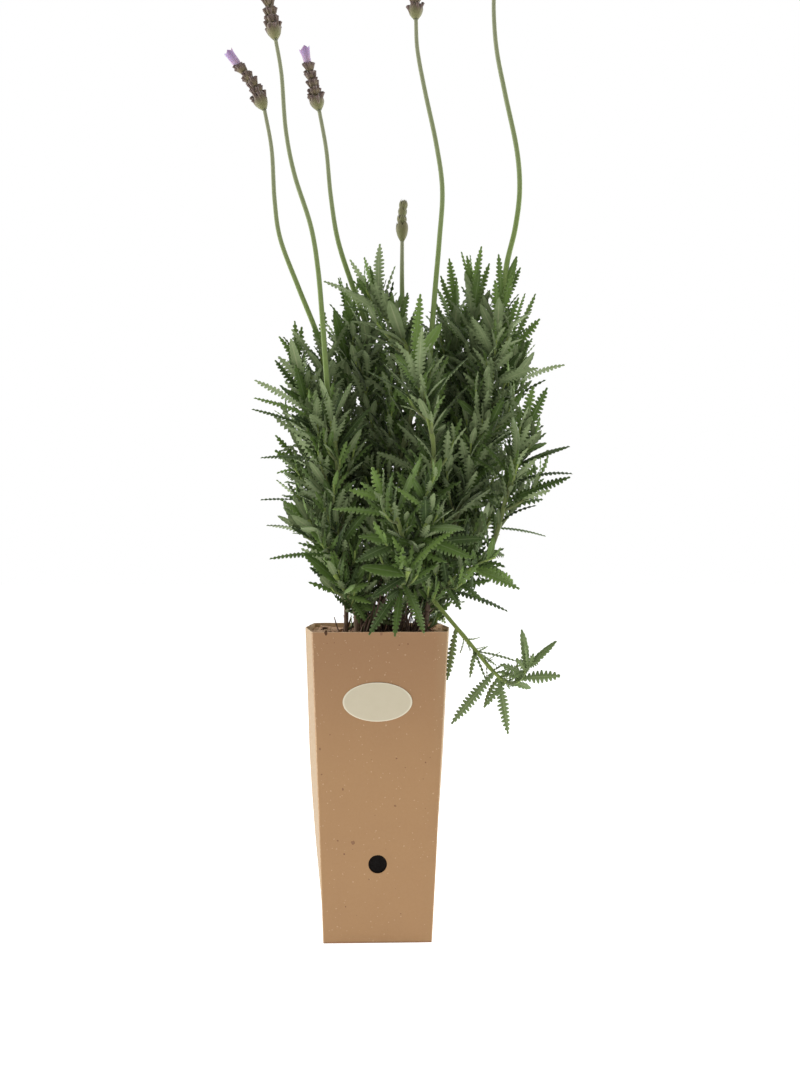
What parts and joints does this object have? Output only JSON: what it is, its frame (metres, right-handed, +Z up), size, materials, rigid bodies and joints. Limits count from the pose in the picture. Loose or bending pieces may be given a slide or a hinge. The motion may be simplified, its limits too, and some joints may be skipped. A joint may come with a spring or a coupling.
{
  "type": "potted lavender",
  "caption": "Bushy toothed-leaf lavender with tall flower stalks, growing in a tall tapered kraft-card box with an oval label and a round hole.",
  "frame": {"origin": "middle of the card box's flat base, on the surface it stands on", "axes": "+Z up along the plant, -Y towards the front panel with the oval label and the round hole, +X to the viewer's right"},
  "size_m": [0.2423, 0.1872, 0.709],
  "materials": {
    "kraft_card": "matt flecked kraft card",
    "label_paper": "smooth cream paper",
    "soil": "rough peat with bark and coir fibre",
    "woody_stem": "dull peeling bark",
    "leafy_shoot": "soft felted leaf",
    "flower_stalk": "matt green stem",
    "flower_spike": "soft downy bracts",
    "lilac_tuft": "thin soft petals"
  },
  "bodies": {
    "root": {"card_box": "kraft_card", "paper_label": "label_paper", "soil": "soil", "woody_stem_1": "woody_stem", "woody_stem_2": "woody_stem", "woody_stem_3": "woody_stem", "woody_stem_4": "woody_stem", "woody_stem_5": "woody_stem", "woody_stem_6": "woody_stem", "woody_stem_7": "woody_stem", "leafy_shoot_01": "leafy_shoot", "leafy_shoot_02": "leafy_shoot", "leafy_shoot_03": "leafy_shoot", "leafy_shoot_04": "leafy_shoot", "leafy_shoot_05": "leafy_shoot", "leafy_shoot_06": "leafy_shoot", "leafy_shoot_07": "leafy_shoot", "leafy_shoot_08": "leafy_shoot", "leafy_shoot_09": "leafy_shoot", "leafy_shoot_10": "leafy_shoot", "leafy_shoot_11": "leafy_shoot", "leafy_shoot_12": "leafy_shoot", "leafy_shoot_13": "leafy_shoot", "leafy_shoot_14": "leafy_shoot", "leafy_shoot_15": "leafy_shoot", "leafy_shoot_16": "leafy_shoot", "leafy_shoot_17": "leafy_shoot", "leafy_shoot_18": "leafy_shoot", "leafy_shoot_19": "leafy_shoot", "leafy_shoot_20": "leafy_shoot", "leafy_shoot_21": "leafy_shoot", "leafy_shoot_22": "leafy_shoot", "leafy_shoot_23": "leafy_shoot", "leafy_shoot_24": "leafy_shoot", "leafy_shoot_25": "leafy_shoot", "leafy_shoot_26": "leafy_shoot", "leafy_shoot_27": "leafy_shoot", "leafy_shoot_28": "leafy_shoot", "leafy_shoot_29": "leafy_shoot", "leafy_shoot_30": "leafy_shoot", "leafy_shoot_31": "leafy_shoot", "flower_stalk_1": "flower_stalk", "flower_stalk_2": "flower_stalk", "flower_stalk_3": "flower_stalk", "flower_stalk_4": "flower_stalk", "flower_stalk_5": "flower_stalk", "flower_stalk_6": "flower_stalk", "flower_spike_1": "flower_spike", "flower_spike_2": "flower_spike", "flower_spike_3": "flower_spike", "flower_spike_4": "flower_spike", "flower_spike_5": "flower_spike", "flower_spike_6": "flower_spike", "lilac_tuft_1": "lilac_tuft", "lilac_tuft_2": "lilac_tuft", "lilac_tuft_3": "lilac_tuft", "lilac_tuft_5": "lilac_tuft", "lilac_tuft_6": "lilac_tuft"}
  },
  "joints": []
}
